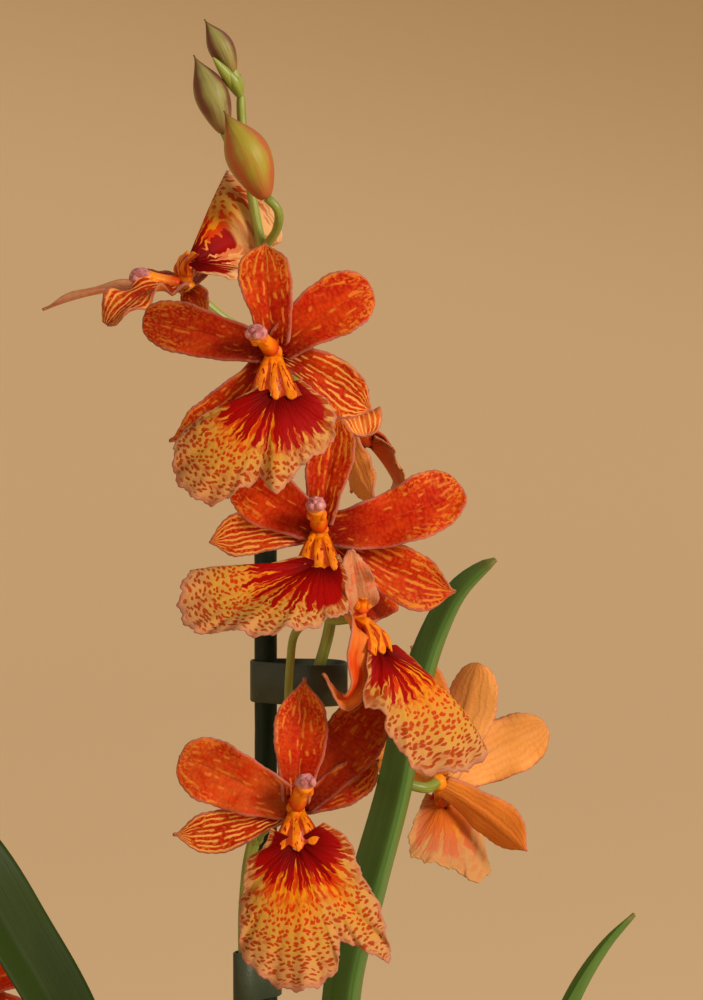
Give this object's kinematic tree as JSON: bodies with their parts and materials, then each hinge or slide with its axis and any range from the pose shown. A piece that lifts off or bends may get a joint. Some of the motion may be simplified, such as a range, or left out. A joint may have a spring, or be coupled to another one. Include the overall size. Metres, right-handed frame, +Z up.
{
  "type": "potted oncidopsis orchid",
  "caption": "Potted oncidopsis orchid with strap leaves, green bulbs and a tall staked flower spike of orange blooms with spotted lips, in a clay pot.",
  "frame": {"origin": "middle of the pot's foot, on the surface it stands on", "axes": "+Z up; the main blooms face -Y, and +X is to the right of someone who looks at their faces"},
  "size_m": [0.4292, 0.4024, 0.5559],
  "materials": {
    "clay": "matte",
    "bark": "matte",
    "bulb": "satin",
    "leaf": "satin",
    "stem": "satin",
    "bud": "satin",
    "petal": "satin",
    "lip": "satin",
    "column": "satin",
    "stake": "satin",
    "tie": "satin"
  },
  "bodies": {
    "root": {"pot": "clay", "bark": "bark", "bulb_1": "bulb", "bulb_2": "bulb", "bulb_3": "bulb", "leaf_1": "leaf", "leaf_2": "leaf", "leaf_3": "leaf", "leaf_4": "leaf", "leaf_5": "leaf", "leaf_6": "leaf", "leaf_7": "leaf", "leaf_8": "leaf", "leaf_9": "leaf", "leaf_10": "leaf", "leaf_11": "leaf", "leaf_12": "leaf", "flower_spike_1": "stem", "flower_spike_2": "stem", "stake": "stake", "stake_tie_1": "tie", "stake_tie_2": "tie", "bud_1": "bud", "bud_2": "bud", "bud_3": "bud", "bud_4": "bud", "bloom_1_tepals": "petal", "bloom_1_lip": "lip", "bloom_1_column": "column", "bloom_2_tepals": "petal", "bloom_2_lip": "lip", "bloom_2_column": "column", "bloom_3_tepals": "petal", "bloom_3_lip": "lip", "bloom_3_column": "column", "bloom_4_tepals": "petal", "bloom_4_lip": "lip", "bloom_4_column": "column", "bloom_5_tepals": "petal", "bloom_5_lip": "lip", "bloom_5_column": "column", "bloom_6_tepals": "petal", "bloom_6_lip": "lip", "bloom_6_column": "column", "bloom_7_tepals": "petal", "bloom_7_lip": "lip", "bloom_7_column": "column", "bloom_8_tepals": "petal", "bloom_8_lip": "lip", "bloom_8_column": "column", "bloom_9_tepals": "petal", "bloom_9_lip": "lip", "bloom_9_column": "column"}
  },
  "joints": []
}
